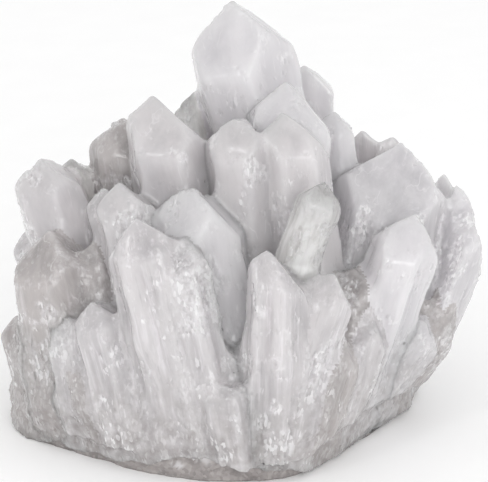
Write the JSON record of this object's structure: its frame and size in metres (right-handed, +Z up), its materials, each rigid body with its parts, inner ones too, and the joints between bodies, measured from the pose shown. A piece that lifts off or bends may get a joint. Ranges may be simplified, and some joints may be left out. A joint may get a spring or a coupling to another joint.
{
  "type": "quartz crystal cluster",
  "caption": "Natural cluster of milky quartz crystals of many lengths fanning out from a low rock base with a flat sawn underside.",
  "frame": {"origin": "centre of the bounding box at the flat underside", "axes": "+X along the cluster's width to the right, -Y to the front, +Z up"},
  "size_m": [0.151, 0.1212, 0.1307],
  "materials": {
    "milky_quartz": "natural milky quartz, translucent, glassy faces with veils and worn edges",
    "quartz_rock": "granular grey quartz rock, rough, underside sawn flat"
  },
  "bodies": {
    "root": {"quartz_rock": "quartz_rock", "tallest_point": "milky_quartz", "left_shoulder_point": "milky_quartz", "inner_right_point": "milky_quartz", "right_block": "milky_quartz", "clear_leaning_point": "milky_quartz", "inner_right_front_point": "milky_quartz", "blunt_middle_point": "milky_quartz", "front_left_point": "milky_quartz", "front_middle_point": "milky_quartz", "front_right_point": "milky_quartz", "milky_heart_point": "milky_quartz", "left_outer_point": "milky_quartz", "left_low_point": "milky_quartz", "right_crest_point": "milky_quartz", "right_outer_block": "milky_quartz", "left_grey_point": "milky_quartz", "back_right_tall_point": "milky_quartz", "right_shoulder_point": "milky_quartz", "front_left_inner_point": "milky_quartz", "front_split_point": "milky_quartz", "middle_left_point": "milky_quartz", "small_left_point": "milky_quartz", "left_rear_point": "milky_quartz", "small_dark_point": "milky_quartz", "shaded_point": "milky_quartz", "rear_ridge_point": "milky_quartz", "rear_ridge_low_point": "milky_quartz", "hollow_left_point": "milky_quartz", "left_base_point": "milky_quartz", "left_edge_point": "milky_quartz", "left_front_small_point": "milky_quartz", "left_front_point": "milky_quartz", "right_base_point": "milky_quartz", "right_low_block": "milky_quartz", "front_low_stump": "milky_quartz", "right_front_low_point": "milky_quartz", "right_rim_point": "milky_quartz", "left_front_low_point": "milky_quartz", "rear_tall_point": "milky_quartz", "rear_left_point": "milky_quartz", "rear_outer_left_point": "milky_quartz", "rear_right_point": "milky_quartz", "rear_outer_right_point": "milky_quartz", "rear_low_left_point": "milky_quartz", "rear_low_middle_point": "milky_quartz", "rear_low_right_point": "milky_quartz", "rear_inner_point": "milky_quartz"}
  },
  "joints": []
}
